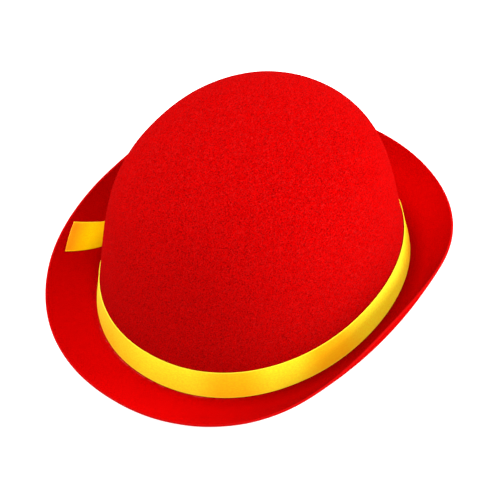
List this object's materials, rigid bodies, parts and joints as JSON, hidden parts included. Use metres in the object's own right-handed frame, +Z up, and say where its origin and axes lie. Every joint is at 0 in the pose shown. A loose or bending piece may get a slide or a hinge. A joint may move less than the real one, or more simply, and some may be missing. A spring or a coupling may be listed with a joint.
{
  "type": "clown bowler hat",
  "caption": "Round felt bowler hat: hollow domed crown, brim curled up at the sides, satin ribbon round the crown with its end standing off at one side.",
  "frame": {"origin": "middle of the hat's outline seen from above, on the surface it stands on", "axes": "+Z up through the crown, -Y to the front of the hat, +X to the wearer's left, where the ribbon's end is"},
  "size_m": [0.2108, 0.2566, 0.1174],
  "materials": {
    "red_felt": "matte wool felt",
    "yellow_satin": "satin ribbon"
  },
  "bodies": {
    "root": {"felt_body": "red_felt", "hat_band": "yellow_satin", "ribbon_end": "yellow_satin"}
  },
  "joints": []
}
